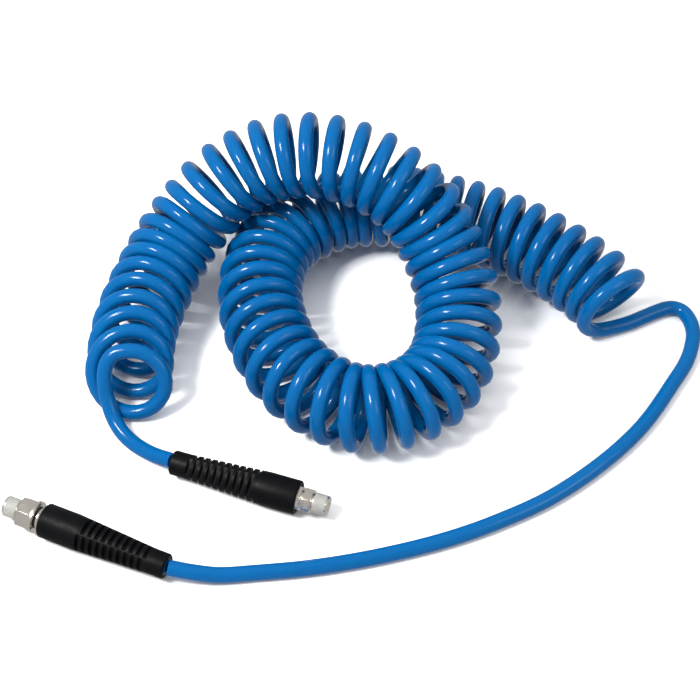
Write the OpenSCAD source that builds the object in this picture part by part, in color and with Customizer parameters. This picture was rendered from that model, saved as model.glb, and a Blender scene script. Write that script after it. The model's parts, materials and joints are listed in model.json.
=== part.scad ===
// Coiled air hose: polyurethane tube wound in a coil, with a plain lead at each end.
// One end has a fixed male fitting and the other a swivelling one, each behind a rubber boot.
// The hose lies loosely on a bench, with one stretch of the coil resting on another.

/* [Hose] */
// Outer diameter of the hose
hose_d = 10; // [9.5:0.1:10.5]
// Bore of the hose
hose_bore = 6.5; // [6:0.1:7]
// Outer diameter of the coil
coil_d = 58; // [56:1:60]

/* [Boots] */
// Length of each rubber boot
boot_len = 85; // [80:1:90]
// Outer diameter of a boot at its mouth, round the fitting
boot_mouth_d = 22; // [21:0.5:23]
// Outer diameter of a boot where the hose comes out
boot_neck_d = 16; // [15:0.5:17]
// Number of slots in each of the four rows
slot_count = 10; // [6:1:10]
// Distance from one slot to the next
slot_pitch = 4.65; // [4.3:0.05:4.7]
// Width of one slot
slot_w = 2.6; // [2:0.1:3]

/* [Fittings] */
// Major diameter of the male pipe thread
thread_d = 13.16; // [12.9:0.01:13.4]
// Width across the flats of the fixed hexagon and the clamp nuts
hex_af = 14.7; // [14:0.1:15]
// Width across the flats of the swivelling hexagon
swivel_af = 17.7; // [17:0.1:18]
// Radial running gap between the swivel and its journal
swivel_gap = 0.05; // [0.03:0.01:0.08]

/* [Hidden] */

eps = 0.01;
round_fn = 96;
hose_r = hose_d / 2;
coil_r = coil_d / 2;
turn_r = coil_r - hose_r;

hose_blue = [0.02, 0.36, 0.74];
boot_black = [0.10, 0.10, 0.11];
nickel = [0.74, 0.72, 0.68];
seal_white = [0.88, 0.88, 0.84];
brass = [0.78, 0.62, 0.34];

// Places of the two boot mouths on the bench, and the way each fitting points
fixed_at = [-43, -103];
fixed_turn = -18.5;
swivel_at = [-200, -119];
swivel_turn = 157;
axis_h = boot_mouth_d / 2;

// Centre line of the coil, one point for every third turn: x, y, lift off the bench, and the
// angle in degrees by which the turns lean back
turns_per_point = 3;
coil_route = [
    [-155, -28, 1, 40], [-154, 20, 0, 25], [-141, 62, 6, 12], [-122, 91, 22, 5],
    [-92, 110, 47, 0], [-53, 117, 62, 0], [-8, 107, 65, 0], [29, 88, 52, 0],
    [51, 65, 27, 0], [61, 30, 8, 0], [54, -12, 0, 0], [28, -41, 0, 0],
    [-10, -46, 0, 0], [-46, -22, 0, 0], [-67, 20, 0, 0], [-71, 64, 0, 0],
    [-56, 102, 0, 0], [-20, 126, 0, 0], [20, 129, 0, 0], [60, 120, 0, 0],
    [98, 103, 0, 0], [133, 78, 0, 5], [164, 43.5, 0, 10], [186, -12, 0, 10]
];
coil_first = 0.08;
coil_last = 66.6;
coil_sections = 46;
coil_sides = 16;

// Centre lines of the two plain leads, from the coil out to the boots
lead_short_route = [
    [-124, -75, 11], [-138, -67, 7], [-150, -58, 5], [-159, -49, 6], [-165, -40, 10],
    [-168, -33, 16], [-170, -27, 23], [-170, -21, 31], [-168, -16, 37],
    [-163, -12, 41], [-155, -11, 42.5], [-148, -11, 42]
];
lead_long_route = [
    [160, 35, 7], [170, 39, 5], [181, 43, 5], [191, 48, 5], [201, 53, 5], [210, 56, 5],
    [217, 54, 5], [221, 48, 5], [223, 39, 5], [222, 28, 5], [216, 11, 5], [205, -7, 5],
    [180, -43, 5], [150, -73, 5], [115, -99, 5], [80, -117, 5], [50, -129, 5], [20, -138, 5],
    [-10, -145, 5], [-40, -150, 5], [-70, -153, 5], [-90, -155, 6], [-105, -155, 9],
    [-121, -153, 11]
];
lead_sides = 12;

// Fitting sizes along its own axis, from the boot mouth outwards
nut_out = 2;
nut_in = 18;
nut_bore_r = hose_r + 0.3;
ring_r = 6.3;
ring_len = 6;
tail_r = hose_bore / 2;
tail_len = 32;
barb_r = tail_r + 0.4;
barb_count = 4;
barb_pitch = 4;
bore_r = 2.5;
neck_r = 5.6;
thread_r = thread_d / 2;
thread_core_r = thread_r - 0.25;
seal_len = 8;
fixed_hex = [3.5, 9];
fixed_thread = [10, 19.5];
journal_r = 5;
collar = [2, 3.2];
collar_r = 7;
washer = [3.3, 4.2];
swivel_flange = [4.4, 6.6];
swivel_hex = [6.6, 16];
swivel_thread = [17.5, 27];
journal_end = 14.4;
snap_at = 12.6;
snap_h = 0.8;
oring_wire_r = 0.75;
oring_at = [6.4, 9.4];

// A value on the smooth curve through the points of a route, at place t counted in points
function near(p, k) = k < 0 ? 2 * p[0] - p[1]
    : k > len(p) - 1 ? 2 * p[len(p) - 1] - p[len(p) - 2] : p[k];
function on_curve(p, t) =
    let (k = min(floor(t), len(p) - 2), s = t - k,
         a = near(p, k - 1), b = near(p, k), c = near(p, k + 1), d = near(p, k + 2))
    (2 * b + (c - a) * s + (2 * a - 5 * b + 4 * c - d) * s * s
     + (3 * b - a - 3 * c + d) * s * s * s) / 2;
function unit(v) = v / norm(v);
function along(p, t) =
    let (lo = max(0, t - eps), hi = min(len(p) - 1, t + eps))
    unit([for (k = [0:2]) (on_curve(p, hi) - on_curve(p, lo))[k]]);

// Axes across a route: one level and to the left, one upwards
function level_axis(dir) = unit([-dir[1], dir[0], 0]);
function upper_axis(dir) = cross(dir, level_axis(dir));

// One cross-section of the coil's envelope, leaning as its turns do
function coil_ring(turn) =
    let (t = turn / turns_per_point, q = on_curve(coil_route, t), lean = q[3],
         dir = along(coil_route, t), side = level_axis(dir),
         rise = upper_axis(dir) * cos(lean) + dir * sin(lean),
         centre = [q[0], q[1], q[2] + hose_r + turn_r * cos(lean)])
    [for (k = [0:coil_sides - 1]) let (a = 90 + 360 * k / coil_sides)
        centre + coil_r * (side * cos(a) + rise * sin(a))];

function lead_ring(p, t) =
    let (dir = along(p, t), side = level_axis(dir), rise = upper_axis(dir))
    [for (k = [0:lead_sides - 1]) let (a = 90 + 360 * k / lead_sides)
        on_curve(p, t) + hose_r * (side * cos(a) + rise * sin(a))];

// Closed skin over a row of rings that all have the same number of points
module skin(rings) {
    n = len(rings[0]);
    last = len(rings) - 1;
    polyhedron(
        points = [for (r = rings) each r],
        faces = [
            [for (k = [0:n - 1]) k],
            for (i = [0:last - 1], k = [0:n - 1]) let (m = (k + 1) % n)
                each [[i * n + k, (i + 1) * n + k, (i + 1) * n + m],
                      [i * n + k, (i + 1) * n + m, i * n + m]],
            [for (k = [n - 1:-1:0]) last * n + k]
        ]
    );
}

// Puts a piece that is drawn along +X, from the boot mouth outwards, at its end of the hose
module at_fixed_end() {
    translate([fixed_at[0], fixed_at[1], axis_h]) rotate([0, 0, fixed_turn]) children();
}

module at_swivel_end() {
    translate([swivel_at[0], swivel_at[1], axis_h]) rotate([0, 0, swivel_turn]) children();
}

// Round bar and tube along +X between two places
module bar(from, to, r) {
    translate([from, 0, 0]) rotate([0, 90, 0]) cylinder(h = to - from, r = r, $fn = round_fn);
}

module tube(from, to, r, inner) {
    difference() {
        bar(from, to, r);
        bar(from - 1, to + 1, inner);
    }
}

// Hexagon bar along +X with its corners turned down to a round chamfer
module hex_bar(from, to, flats) {
    corner_r = flats / 2 / cos(30);
    cut = 0.8;
    intersection() {
        translate([from, 0, 0]) rotate([0, 90, 0]) rotate([0, 0, 30])
            cylinder(h = to - from, r = corner_r, $fn = 6);
        rotate([0, 90, 0]) rotate_extrude($fn = round_fn) polygon([
            [0, from], [corner_r - cut, from], [corner_r, from + cut / 2],
            [corner_r, to - cut / 2], [corner_r - cut, to], [0, to]
        ]);
    }
}

module hose_coil() {
    color(hose_blue) skin([for (i = [0:coil_sections - 1])
        coil_ring(coil_first + (coil_last - coil_first) * i / (coil_sections - 1))]);
}

module hose_lead_short() {
    color(hose_blue) skin([for (i = [0:len(lead_short_route) - 1]) lead_ring(lead_short_route, i)]);
}

module hose_lead_long() {
    color(hose_blue) skin([for (i = [0:len(lead_long_route) - 1]) lead_ring(lead_long_route, i)]);
}

// Stretch of hose inside a boot, pushed over the barbs of the tail
module hose_end() {
    color(hose_blue) tube(-boot_len, -nut_in + 10, hose_r, tail_r);
}

module hose_end_fixed() {
    at_fixed_end() hose_end();
}

module hose_end_swivel() {
    at_swivel_end() hose_end();
}

// Rubber boot: tapered sleeve with four rows of slots, neighbouring rows half a step apart
module boot(row_turn) {
    mouth_r = boot_mouth_d / 2;
    neck_end_r = boot_neck_d / 2;
    edge = 0.8;
    cuff = 10.5;
    pocket_r = hex_af / 2 / cos(30) + 0.05;
    slot_floor = 0.74;
    color(boot_black) difference() {
        rotate([0, 90, 0]) rotate_extrude($fn = round_fn) polygon([
            [0, -boot_len], [neck_end_r - edge, -boot_len], [neck_end_r, -boot_len + edge],
            [neck_end_r, -boot_len + cuff], [mouth_r, -cuff * 2], [mouth_r, -edge],
            [mouth_r - edge, 0], [0, 0]
        ]);
        bar(-boot_len - 1, 1, hose_r + 0.02);
        bar(-nut_in, 1, pocket_r);
        for (row = [0:3], k = [0:slot_count - 1]) {
            x = -boot_len + cuff + 1 + slot_pitch * (k + (row % 2) / 2);
            r_here = neck_end_r + (mouth_r - neck_end_r) * (x + boot_len - cuff) / (boot_len - cuff * 3);
            rotate([row_turn + 90 * row, 0, 0])
                translate([x, -mouth_r, r_here * slot_floor])
                    cube([slot_w, boot_mouth_d, mouth_r]);
        }
    }
}

module boot_fixed() {
    at_fixed_end() boot(35);
}

module boot_swivel() {
    at_swivel_end() boot(15);
}

// Nut that pulls the clamp ring down on the hose
module clamp_nut() {
    color(nickel) difference() {
        hex_bar(-nut_in, nut_out, hex_af);
        bar(-nut_in - 1, nut_out + 1, nut_bore_r);
        bar(-nut_in + 4, nut_out + 1, ring_r);
    }
}

module clamp_nut_fixed() {
    at_fixed_end() clamp_nut();
}

module clamp_nut_swivel() {
    at_swivel_end() clamp_nut();
}

// Split ring that grips the hose on the barbs
module clamp_ring() {
    color(brass) tube(-nut_in + 4, -nut_in + 4 + ring_len, ring_r, hose_r);
}

module clamp_ring_fixed() {
    at_fixed_end() clamp_ring();
}

module clamp_ring_swivel() {
    at_swivel_end() clamp_ring();
}

// Tail that goes into the hose, with its barbs
module barbed_tail(end) {
    bar(-tail_len, end, tail_r);
    for (k = [0:barb_count - 1])
        translate([-tail_len + 1 + barb_pitch * k, 0, 0]) rotate([0, 90, 0])
            cylinder(h = 2, r1 = tail_r, r2 = barb_r, $fn = round_fn);
}

module nipple_fixed() {
    color(nickel) at_fixed_end() difference() {
        union() {
            barbed_tail(-nut_in + 10);
            bar(-nut_in + 10, nut_out, ring_r);
            bar(0, fixed_thread[0] + 1, neck_r);
            hex_bar(fixed_hex[0], fixed_hex[1], hex_af);
            bar(fixed_thread[0], fixed_thread[1], thread_core_r);
        }
        bar(-tail_len - 1, fixed_thread[1] + 1, bore_r);
    }
}

// Band of white sealant on a male thread
module thread_seal(thread) {
    color(seal_white) tube(thread[0] + 0.5, thread[0] + 0.5 + seal_len, thread_r, thread_core_r);
}

module thread_seal_fixed() {
    at_fixed_end() thread_seal(fixed_thread);
}

// Fixed half of the swivel: barbed tail, collar, and the journal that the swivel turns on
module swivel_stem() {
    color(nickel) at_swivel_end() difference() {
        union() {
            barbed_tail(-nut_in + 10);
            bar(-nut_in + 10, nut_out, ring_r);
            bar(0, journal_end, journal_r);
            bar(collar[0], collar[1], collar_r);
        }
        bar(-tail_len - 1, journal_end + 1, bore_r);
        for (x = oring_at) tube(x - oring_wire_r, x + oring_wire_r, journal_r + 1, journal_r - 2 * oring_wire_r);
        tube(snap_at, snap_at + snap_h, journal_r + 1, journal_r - 0.8);
    }
}

// Turning half of the swivel: round flange, hexagon and male thread
module swivel_body() {
    flange_r = swivel_af / 2 / cos(30);
    color(nickel) at_swivel_end() difference() {
        union() {
            bar(swivel_flange[0], swivel_flange[1], flange_r);
            hex_bar(swivel_hex[0], swivel_hex[1], swivel_af);
            bar(swivel_flange[0], swivel_thread[0] + 1, neck_r);
            bar(swivel_thread[0], swivel_thread[1], thread_core_r);
        }
        bar(swivel_flange[0] - 1, journal_end + 0.4, journal_r + swivel_gap);
        bar(snap_at - 0.2, journal_end + 0.4, journal_r + 0.6);
        bar(0, swivel_thread[1] + 1, bore_r);
    }
}

module thread_seal_swivel() {
    at_swivel_end() thread_seal(swivel_thread);
}

module swivel_washer() {
    color(seal_white) at_swivel_end() tube(washer[0], washer[1], collar_r, journal_r);
}

module oring(x) {
    color(boot_black) at_swivel_end() translate([x, 0, 0]) rotate([0, 90, 0])
        rotate_extrude($fn = round_fn) translate([journal_r - oring_wire_r, 0])
            circle(r = oring_wire_r, $fn = round_fn);
}

module swivel_oring_inner() {
    oring(oring_at[0]);
}

module swivel_oring_outer() {
    oring(oring_at[1]);
}

// Split spring ring that keeps the swivel on its journal
module swivel_snap_ring() {
    gap = 2;
    color(nickel) at_swivel_end() difference() {
        tube(snap_at, snap_at + snap_h, journal_r + 0.45, journal_r - 0.8);
        translate([snap_at - 1, -gap / 2, 0]) cube([snap_h + 2, gap, journal_r * 2]);
    }
}

hose_coil();
hose_lead_short();
hose_lead_long();
hose_end_fixed();
hose_end_swivel();
boot_fixed();
boot_swivel();
clamp_nut_fixed();
clamp_nut_swivel();
clamp_ring_fixed();
clamp_ring_swivel();
nipple_fixed();
thread_seal_fixed();
swivel_stem();
swivel_body();
thread_seal_swivel();
swivel_washer();
swivel_oring_inner();
swivel_oring_outer();
swivel_snap_ring();
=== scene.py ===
import json
import math

import bmesh
import bpy
from mathutils import Matrix, Vector


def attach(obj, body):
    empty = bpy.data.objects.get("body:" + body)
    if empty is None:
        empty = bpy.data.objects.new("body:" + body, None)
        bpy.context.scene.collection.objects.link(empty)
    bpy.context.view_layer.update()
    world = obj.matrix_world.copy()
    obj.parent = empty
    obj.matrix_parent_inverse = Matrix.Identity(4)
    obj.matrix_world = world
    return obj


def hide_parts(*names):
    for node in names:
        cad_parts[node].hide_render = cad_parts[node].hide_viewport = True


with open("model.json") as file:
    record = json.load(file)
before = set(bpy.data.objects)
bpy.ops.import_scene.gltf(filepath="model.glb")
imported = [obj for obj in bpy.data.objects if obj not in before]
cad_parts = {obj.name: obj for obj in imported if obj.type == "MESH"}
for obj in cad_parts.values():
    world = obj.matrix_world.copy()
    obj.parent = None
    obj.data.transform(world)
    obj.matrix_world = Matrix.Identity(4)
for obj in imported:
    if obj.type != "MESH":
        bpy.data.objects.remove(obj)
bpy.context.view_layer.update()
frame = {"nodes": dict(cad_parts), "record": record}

# Camera: stands in front of the bench and looks down on the hose at about fifty degrees,
# from a little over a metre away.
camera_at = Vector((-0.011, -0.6314, 0.8376))
looks_at = Vector((-0.011, 0.023, 0.0))
camera = bpy.data.objects.new("camera", bpy.data.cameras.new("camera"))
bpy.context.collection.objects.link(camera)
camera.location = camera_at
camera.rotation_euler = (looks_at - camera_at).to_track_quat("-Z", "Y").to_euler()
camera.data.sensor_width = 36.0
camera.data.lens = 80.36
bpy.context.scene.camera = camera


# Hose: one length of blue polyurethane tube. It is extruded straight, wound on a mandrel and
# heat-set into a right-handed coil of 66 turns, with a short lead left at one end and a long
# lead at the other. The coil lies in a loop on the bench and crosses over itself once.
HOSE_D = 0.010
TURN_R = 0.024
TURNS_PER_POINT = 3
COIL_FIRST, COIL_LAST = 0.08, 66.6
POINTS_PER_TURN = 28
FIRST_ANGLE = math.radians(60)
POINTS_PER_LEAD_STEP = 5
NEARBY = 0.01

coil_route = [
    (-0.155, -0.028, 0.001, 40), (-0.154, 0.020, 0, 25), (-0.141, 0.062, 0.006, 12),
    (-0.122, 0.091, 0.022, 5), (-0.092, 0.110, 0.047, 0), (-0.053, 0.117, 0.062, 0),
    (-0.008, 0.107, 0.065, 0), (0.029, 0.088, 0.052, 0), (0.051, 0.065, 0.027, 0),
    (0.061, 0.030, 0.008, 0), (0.054, -0.012, 0, 0), (0.028, -0.041, 0, 0),
    (-0.010, -0.046, 0, 0), (-0.046, -0.022, 0, 0), (-0.067, 0.020, 0, 0),
    (-0.071, 0.064, 0, 0), (-0.056, 0.102, 0, 0), (-0.020, 0.126, 0, 0),
    (0.020, 0.129, 0, 0), (0.060, 0.120, 0, 0), (0.098, 0.103, 0, 0),
    (0.133, 0.078, 0, 5), (0.164, 0.0435, 0, 10), (0.186, -0.012, 0, 10),
]
lead_short_route = [
    (-0.124, -0.075, 0.011), (-0.138, -0.067, 0.007), (-0.150, -0.058, 0.005),
    (-0.159, -0.049, 0.006), (-0.165, -0.040, 0.010), (-0.168, -0.033, 0.016),
    (-0.170, -0.027, 0.023), (-0.170, -0.021, 0.031), (-0.168, -0.016, 0.037),
    (-0.163, -0.012, 0.041), (-0.155, -0.011, 0.0425), (-0.148, -0.011, 0.042),
]
lead_long_route = [
    (0.160, 0.035, 0.007), (0.170, 0.039, 0.005), (0.181, 0.043, 0.005),
    (0.191, 0.048, 0.005), (0.201, 0.053, 0.005), (0.210, 0.056, 0.005),
    (0.217, 0.054, 0.005), (0.221, 0.048, 0.005), (0.223, 0.039, 0.005),
    (0.222, 0.028, 0.005), (0.216, 0.011, 0.005), (0.205, -0.007, 0.005),
    (0.180, -0.043, 0.005), (0.150, -0.073, 0.005), (0.115, -0.099, 0.005),
    (0.080, -0.117, 0.005), (0.050, -0.129, 0.005), (0.020, -0.138, 0.005),
    (-0.010, -0.145, 0.005), (-0.040, -0.150, 0.005), (-0.070, -0.153, 0.005),
    (-0.090, -0.155, 0.006), (-0.105, -0.155, 0.009), (-0.121, -0.153, 0.011),
]


def on_curve(route, t):
    """Value on the smooth curve through a route's points, at place t counted in points."""
    last = len(route) - 1
    k = min(int(t), last - 1)
    s = t - k
    b, c = Vector(route[k]), Vector(route[k + 1])
    a = Vector(route[k - 1]) if k > 0 else 2 * b - c
    d = Vector(route[k + 2]) if k + 2 <= last else 2 * c - b
    return (2 * b + (c - a) * s + (2 * a - 5 * b + 4 * c - d) * s * s
            + (3 * b - a - 3 * c + d) * s * s * s) / 2


def coil_point(turn):
    """Point on the hose's centre line in the coil, after that many turns."""
    t = turn / TURNS_PER_POINT
    place = on_curve(coil_route, t)
    ahead, behind = on_curve(coil_route, t + NEARBY), on_curve(coil_route, t - NEARBY)
    travel = (ahead - behind).xyz.normalized()
    left = Vector((-travel.y, travel.x, 0)).normalized()
    lean = math.radians(place.w)
    up = travel.cross(left) * math.cos(lean) + travel * math.sin(lean)
    centre = place.xyz + Vector((0, 0, HOSE_D / 2 + TURN_R * math.cos(lean)))
    angle = 2 * math.pi * turn + FIRST_ANGLE
    return centre + TURN_R * (math.cos(angle) * left + math.sin(angle) * up)


def lead_points(route):
    """Points along a lead, closely enough spaced to bend smoothly."""
    count = (len(route) - 1) * POINTS_PER_LEAD_STEP
    return [on_curve(route, k / POINTS_PER_LEAD_STEP) for k in range(count + 1)]


coil_steps = round((COIL_LAST - COIL_FIRST) * POINTS_PER_TURN)
coil_points = [coil_point(COIL_FIRST + (COIL_LAST - COIL_FIRST) * k / coil_steps)
               for k in range(coil_steps + 1)]
# The leads' routes run a little way into the coil. The hose leaves out the short lead's last
# step there, and at the far end it leaves out the coil's last two points.
hose_points = (lead_points(lead_short_route)[:-1 - POINTS_PER_LEAD_STEP] + coil_points[:-2]
               + lead_points(lead_long_route)[1:])

hose_line = bpy.data.curves.new("hose", "CURVE")
hose_line.dimensions = "3D"
hose_line.bevel_depth = HOSE_D / 2
hose_line.bevel_resolution = 8
hose_line.use_fill_caps = True
strand = hose_line.splines.new("POLY")
strand.points.add(len(hose_points) - 1)
for spline_point, point in zip(strand.points, hose_points):
    spline_point.co = (*point, 1)
strand.use_smooth = True
hose = bpy.data.objects.new("hose", hose_line)
bpy.context.collection.objects.link(hose)


class Shade:
    """A value in a material, from one output of a node."""

    CLOUD_LOW, CLOUD_HIGH = 0.3, 0.7

    def __init__(self, node, output=0):
        self.node = node
        self.socket = node.outputs[output]

    def add(self, kind, settings, inputs, output=0):
        """Adds a node of that kind to the same material, with its settings and inputs."""
        tree = self.node.id_data
        made = tree.nodes.new(kind)
        for name, value in settings.items():
            setattr(made, name, value)
        for name, value in inputs.items():
            if isinstance(value, Shade):
                tree.links.new(value.socket, made.inputs[name])
            else:
                made.inputs[name].default_value = value
        return Shade(made, output)

    def spread(self, low, high):
        """Spreads a cloudy pattern's usual values from low to high, and stops at those ends."""
        return self.add("ShaderNodeMapRange", {}, {
            "Value": self, "From Min": self.CLOUD_LOW, "From Max": self.CLOUD_HIGH,
            "To Min": low, "To Max": high})

    def mix(self, color_a, color_b):
        """Colour between a and b, with this value as the share of b."""
        return self.add("ShaderNodeMix", {"data_type": "RGBA"},
                        {0: self, 6: color_a, 7: color_b}, output=2)

    def noise(self, scale, detail=2.0):
        """Cloudy pattern over this place, that many times a metre."""
        return self.add("ShaderNodeTexNoise", {}, {
            "Vector": self, "Scale": scale, "Detail": detail})


def new_finish(name, **steady):
    """Material with its even values set, its shader, and the place of each point on a piece."""
    material = bpy.data.materials.new(name)
    material.use_nodes = True
    shader = material.node_tree.nodes["Principled BSDF"]
    for socket, value in steady.items():
        shader.inputs[socket.replace("_", " ")].default_value = value
    return material, shader, Shade(material.node_tree.nodes.new("ShaderNodeTexCoord"), "Object")


def feed(shader, name, value):
    """Links a varying value into one socket of the shader."""
    shader.id_data.links.new(value.socket, shader.inputs[name])


def dents(value, height, distance=0.001):
    """Surface direction, with that value standing up as relief."""
    return value.add("ShaderNodeBump", {}, {
        "Height": value, "Strength": height, "Distance": distance}, "Normal")


hose_blue, shader, place = new_finish(
    "hose_blue", Specular_IOR_Level=0.21, Subsurface_Weight=0.30,
    Subsurface_Radius=(0.0002, 0.0012, 0.0045), Subsurface_Scale=1.0)
cloud = place.noise(9.0)
feed(shader, "Base Color", cloud.mix((0.000, 0.076, 0.232, 1), (0.000, 0.096, 0.280, 1)))
feed(shader, "Roughness", place.noise(60.0, 4.0).spread(0.13, 0.19))
feed(shader, "Normal", dents(place.noise(160.0, 3.0), 0.04))
hose_line.materials.append(hose_blue)

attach(hose, "hose")
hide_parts("hose_coil", "hose_lead_short", "hose_lead_long")


def paint(finish, *nodes):
    """Gives CAD nodes that keep their own shape a finish."""
    for node in nodes:
        slots = frame["nodes"][node].data.materials
        slots.clear()
        slots.append(finish)


paint(hose_blue, "hose_end_fixed", "hose_end_swivel")


# Boots: moulded rubber sleeves that keep the hose from kinking behind each fitting. Four rows
# of slots, each half a step from the next, let the thinner part bend. The moulding leaves
# every edge slightly round.
BOOT_EDGE_R = 0.00035
MERGE_GAP = 1e-6
FLAT_BELOW, SHARP_ABOVE = math.radians(0.5), math.radians(30)
SMOOTH_BELOW = math.radians(40)


def new_piece(shape, name, finish, body="hose", smooth_below=math.radians(30)):
    """Turns a finished shape into a piece that has its finish and moves with its body."""
    mesh = bpy.data.meshes.new(name)
    shape.to_mesh(mesh)
    shape.free()
    mesh.materials.append(finish)
    mesh.shade_smooth()
    mesh.set_sharp_from_angle(angle=smooth_below)
    piece = bpy.data.objects.new(name, mesh)
    bpy.context.collection.objects.link(piece)
    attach(piece, body)
    return piece


def rounded(node, name, radius, finish, body="hose"):
    """Copy of a CAD node with its triangles joined and its sharp edges rounded over."""
    shape = bmesh.new()
    shape.from_mesh(frame["nodes"][node].data)
    bmesh.ops.remove_doubles(shape, verts=shape.verts, dist=MERGE_GAP)
    bmesh.ops.dissolve_limit(shape, angle_limit=FLAT_BELOW, verts=shape.verts,
                             edges=shape.edges)
    sharp = [edge for edge in shape.edges if edge.calc_face_angle(0) > SHARP_ABOVE]
    bmesh.ops.bevel(shape, geom=sharp, offset=radius, offset_type="OFFSET", affect="EDGES",
                    segments=2, profile=0.5, material=-1, clamp_overlap=True)
    piece = new_piece(shape, name, finish, body, SMOOTH_BELOW)
    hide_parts(node)


boot_rubber, shader, place = new_finish("boot_rubber", Specular_IOR_Level=0.07)
feed(shader, "Base Color",
     place.noise(120.0, 4.0).mix((0.0014, 0.0015, 0.0018, 1), (0.0042, 0.0044, 0.0050, 1)))
feed(shader, "Roughness", place.noise(300.0, 3.0).spread(0.38, 0.52))
feed(shader, "Normal", dents(place.noise(2500.0, 3.0), 0.15, 0.0002))
for end in ("fixed", "swivel"):
    rounded(f"boot_{end}", f"boot_sleeve_{end}", BOOT_EDGE_R, boot_rubber)

# Metal fittings: brass hexagon bar turned on a lathe, then nickel plated. A clamp nut in the
# mouth of each boot holds the hose on the barbs; the outer hexagon takes the spanner.
METAL_EDGE_R = 0.00015
nickel, shader, place = new_finish("nickel", Metallic=1.0)
feed(shader, "Base Color",
     place.noise(40.0, 3.0).mix((0.74, 0.68, 0.60, 1), (0.88, 0.83, 0.76, 1)))
feed(shader, "Roughness", place.noise(200.0, 3.0).spread(0.18, 0.30))
feed(shader, "Normal", dents(place.noise(900.0, 2.0), 0.05, 0.0003))
paint(nickel, "clamp_ring_fixed", "clamp_ring_swivel", "swivel_snap_ring")
for node, body in (("clamp_nut_fixed", "hose"), ("clamp_nut_swivel", "hose"),
                   ("nipple_fixed", "hose"), ("swivel_stem", "hose"), ("swivel_body", "swivel")):
    rounded(node, f"plated_{node}", METAL_EDGE_R, nickel, body)

# Threads: a taper pipe thread is cut on each fitting, nineteen turns to the inch, and a dry
# white sealant is baked over all but the last turn.
THREAD_PITCH = 0.001337
CORE_R, CREST_R = 0.00630, 0.00662
STEPS_PER_TURN = 32
SEALED_FROM, SEALED_TURNS = 0.0010, 5.0
BARE_FROM, BARE_TURNS = 0.0078, 1.0


def ridge(shape, start, turns, base_w, crest_w):
    """Winds a ridge with sloping flanks round the X axis, with closed ends."""
    profile = [shape.verts.new((start - base_w / 2, CORE_R, 0)),
               shape.verts.new((start - crest_w / 2, CREST_R, 0)),
               shape.verts.new((start + crest_w / 2, CREST_R, 0)),
               shape.verts.new((start + base_w / 2, CORE_R, 0))]
    edges = [shape.edges.new((profile[k - 1], profile[k])) for k in range(4)]
    steps = round(turns * STEPS_PER_TURN)
    bmesh.ops.spin(shape, geom=profile + edges, cent=(0, 0, 0), axis=(1, 0, 0),
                   dvec=(THREAD_PITCH / STEPS_PER_TURN, 0, 0),
                   angle=2 * math.pi * steps / STEPS_PER_TURN, steps=steps)
    bmesh.ops.holes_fill(shape, edges=[edge for edge in shape.edges if edge.is_boundary])
    bmesh.ops.recalc_face_normals(shape, faces=shape.faces)


def out_from_mouth(shape, mount, mount_at):
    """Moves a shape drawn along X from a boot's mouth to its end of the hose."""
    stated = next(m for m in frame["record"]["mounts"] if m["name"] == mount)
    axis = Vector(stated["axis"])
    mouth = Vector(stated["pos_m"]) - mount_at * axis
    turn = Matrix.Rotation(math.atan2(axis.y, axis.x), 4, "Z")
    bmesh.ops.transform(shape, matrix=Matrix.Translation(mouth) @ turn, verts=shape.verts)


sealant, shader, place = new_finish("sealant")
feed(shader, "Base Color",
     place.noise(400.0, 3.0).mix((0.20, 0.20, 0.185, 1), (0.33, 0.33, 0.305, 1)))
feed(shader, "Roughness", place.noise(300.0).spread(0.5, 0.7))
feed(shader, "Normal", dents(place.noise(1500.0, 3.0), 0.25, 0.0003))
# Distances from the boot's mouth: where each thread starts, and where its mount point lies.
for end, body, starts, mount_at in (("fixed", "hose", 0.010, 0.0145),
                                    ("swivel", "swivel", 0.0175, 0.022)):
    bare = bmesh.new()
    ridge(bare, starts + BARE_FROM, BARE_TURNS, base_w=0.0010, crest_w=0.0002)
    out_from_mouth(bare, f"{end}_thread", mount_at)
    new_piece(bare, f"thread_tip_{end}", nickel, body)
    coated = bmesh.new()
    ridge(coated, starts + SEALED_FROM, SEALED_TURNS, base_w=0.0012, crest_w=0.0005)
    out_from_mouth(coated, f"{end}_thread", mount_at)
    new_piece(coated, f"thread_coat_{end}", sealant, body)
    paint(sealant, f"thread_seal_{end}")

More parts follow.
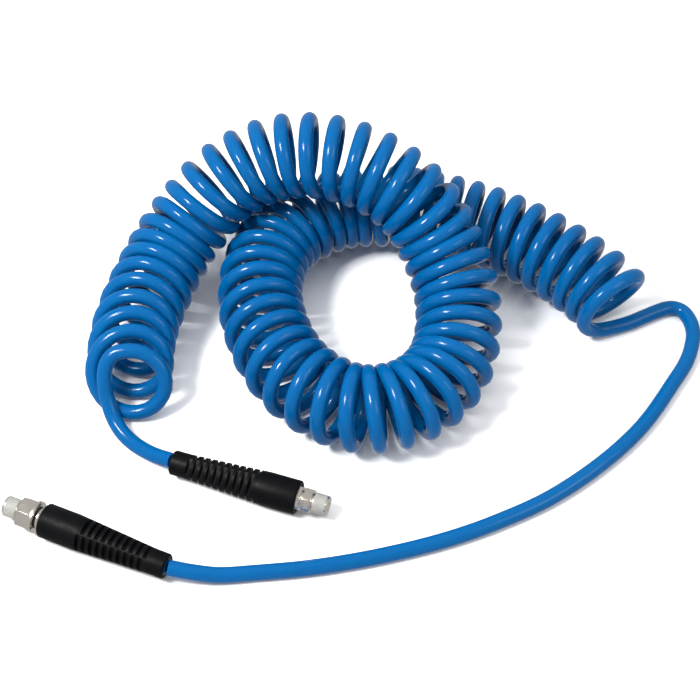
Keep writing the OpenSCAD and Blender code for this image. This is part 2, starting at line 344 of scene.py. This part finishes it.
# Swivel seals: a dark plastic washer takes the thrust, and two rubber rings on the journal keep
# the air in. They slide over the stem before the turning half, which a snap ring holds on.
seal_black, shader, place = new_finish("seal_black", Specular_IOR_Level=0.3)
feed(shader, "Base Color",
     place.noise(500.0).mix((0.010, 0.010, 0.011, 1), (0.020, 0.020, 0.021, 1)))
feed(shader, "Roughness", place.noise(300.0).spread(0.4, 0.6))
paint(seal_black, "swivel_washer", "swivel_oring_inner", "swivel_oring_outer")

# Bench: a plain white top that the hose lies on. It is matt, and is kept out of reflections so
# that the hose isn't veiled in white.
BENCH_HALF = 6.0
bench_mesh = bpy.data.meshes.new("bench")
shape = bmesh.new()
bmesh.ops.create_grid(shape, x_segments=1, y_segments=1, size=BENCH_HALF)
shape.to_mesh(bench_mesh)
shape.free()
bench = bpy.data.objects.new("bench", bench_mesh)
bpy.context.collection.objects.link(bench)
bench_white, shader, place = new_finish("bench_white", Roughness=0.9, Specular_IOR_Level=0.1)
feed(shader, "Base Color", place.noise(3.0).mix((0.90, 0.90, 0.90, 1), (0.92, 0.92, 0.92, 1)))
bench_mesh.materials.append(bench_white)
bench.visible_glossy = False


# Lights: a soft box over the left of the bench makes the highlights. A wide one overhead, left
# out of reflections, and a weak one to the right soften the shadows, in an even pale surround.
def soft_box(name, at, width, depth, watts, mirrored=True):
    """Flat lamp aimed at the middle of the bench."""
    lamp = bpy.data.lights.new(name, "AREA")
    lamp.shape = "RECTANGLE"
    lamp.size, lamp.size_y, lamp.energy = width, depth, watts
    holder = bpy.data.objects.new(name, lamp)
    bpy.context.collection.objects.link(holder)
    holder.visible_glossy = mirrored
    holder.location = at
    holder.rotation_euler = (-Vector(at)).to_track_quat("-Z", "Y").to_euler()


soft_box("key_light", (-0.85, -0.35, 1.35), width=0.48, depth=0.32, watts=34)
soft_box("top_light", (0, 0.3, 1.8), width=2.4, depth=2.4, watts=26, mirrored=False)
soft_box("fill_light", (1.3, -0.6, 1.3), width=0.9, depth=0.9, watts=7)
world = bpy.data.worlds.new("surround")
world.use_nodes = True
world.node_tree.nodes["Background"].inputs["Color"].default_value = (1, 1, 1, 1)
world.node_tree.nodes["Background"].inputs["Strength"].default_value = 0.48
bpy.context.scene.world = world
bpy.context.scene.view_settings.view_transform = "Standard"
